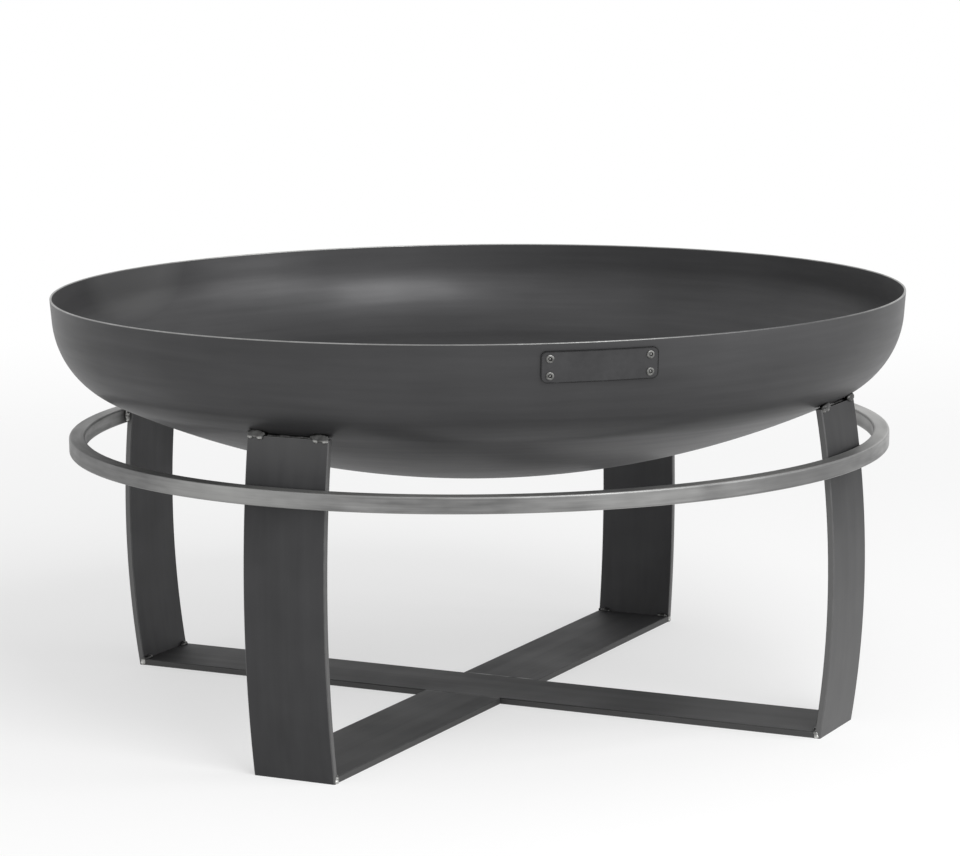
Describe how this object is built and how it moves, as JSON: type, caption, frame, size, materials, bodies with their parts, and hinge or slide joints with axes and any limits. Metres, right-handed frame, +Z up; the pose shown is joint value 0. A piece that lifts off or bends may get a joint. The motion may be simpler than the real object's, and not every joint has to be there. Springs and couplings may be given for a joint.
{
  "type": "fire bowl",
  "caption": "Open round fire bowl of dished sheet steel, welded on bowed flat-bar legs with a floor cross and a carrying ring of square tube.",
  "frame": {"origin": "on the floor, under the middle of the dish", "axes": "+Z up; the side with the badge plate faces -Y; the legs stand on the diagonals"},
  "size_m": [0.8, 0.8014, 0.3885],
  "materials": {
    "bowl_steel": "satin mill-black steel",
    "stand_steel": "satin mill-black steel",
    "ring_steel": "bare drawn tube",
    "badge_steel": "satin mill-black steel",
    "rivet_steel": "bright",
    "weld_steel": "as welded"
  },
  "bodies": {
    "root": {"badge_plate": "badge_steel", "base_bar_back": "stand_steel", "base_bar_front": "stand_steel", "base_bar_long": "stand_steel", "bowl": "bowl_steel", "bowl_tacks": "weld_steel", "cross_seams": "weld_steel", "foot_tacks": "weld_steel", "leg_back_left": "stand_steel", "leg_back_right": "stand_steel", "leg_front_left": "stand_steel", "leg_front_right": "stand_steel", "ring": "ring_steel", "ring_tacks": "weld_steel", "rivet_mandrels": "rivet_steel", "rivet_sleeves": "rivet_steel"}
  },
  "joints": []
}
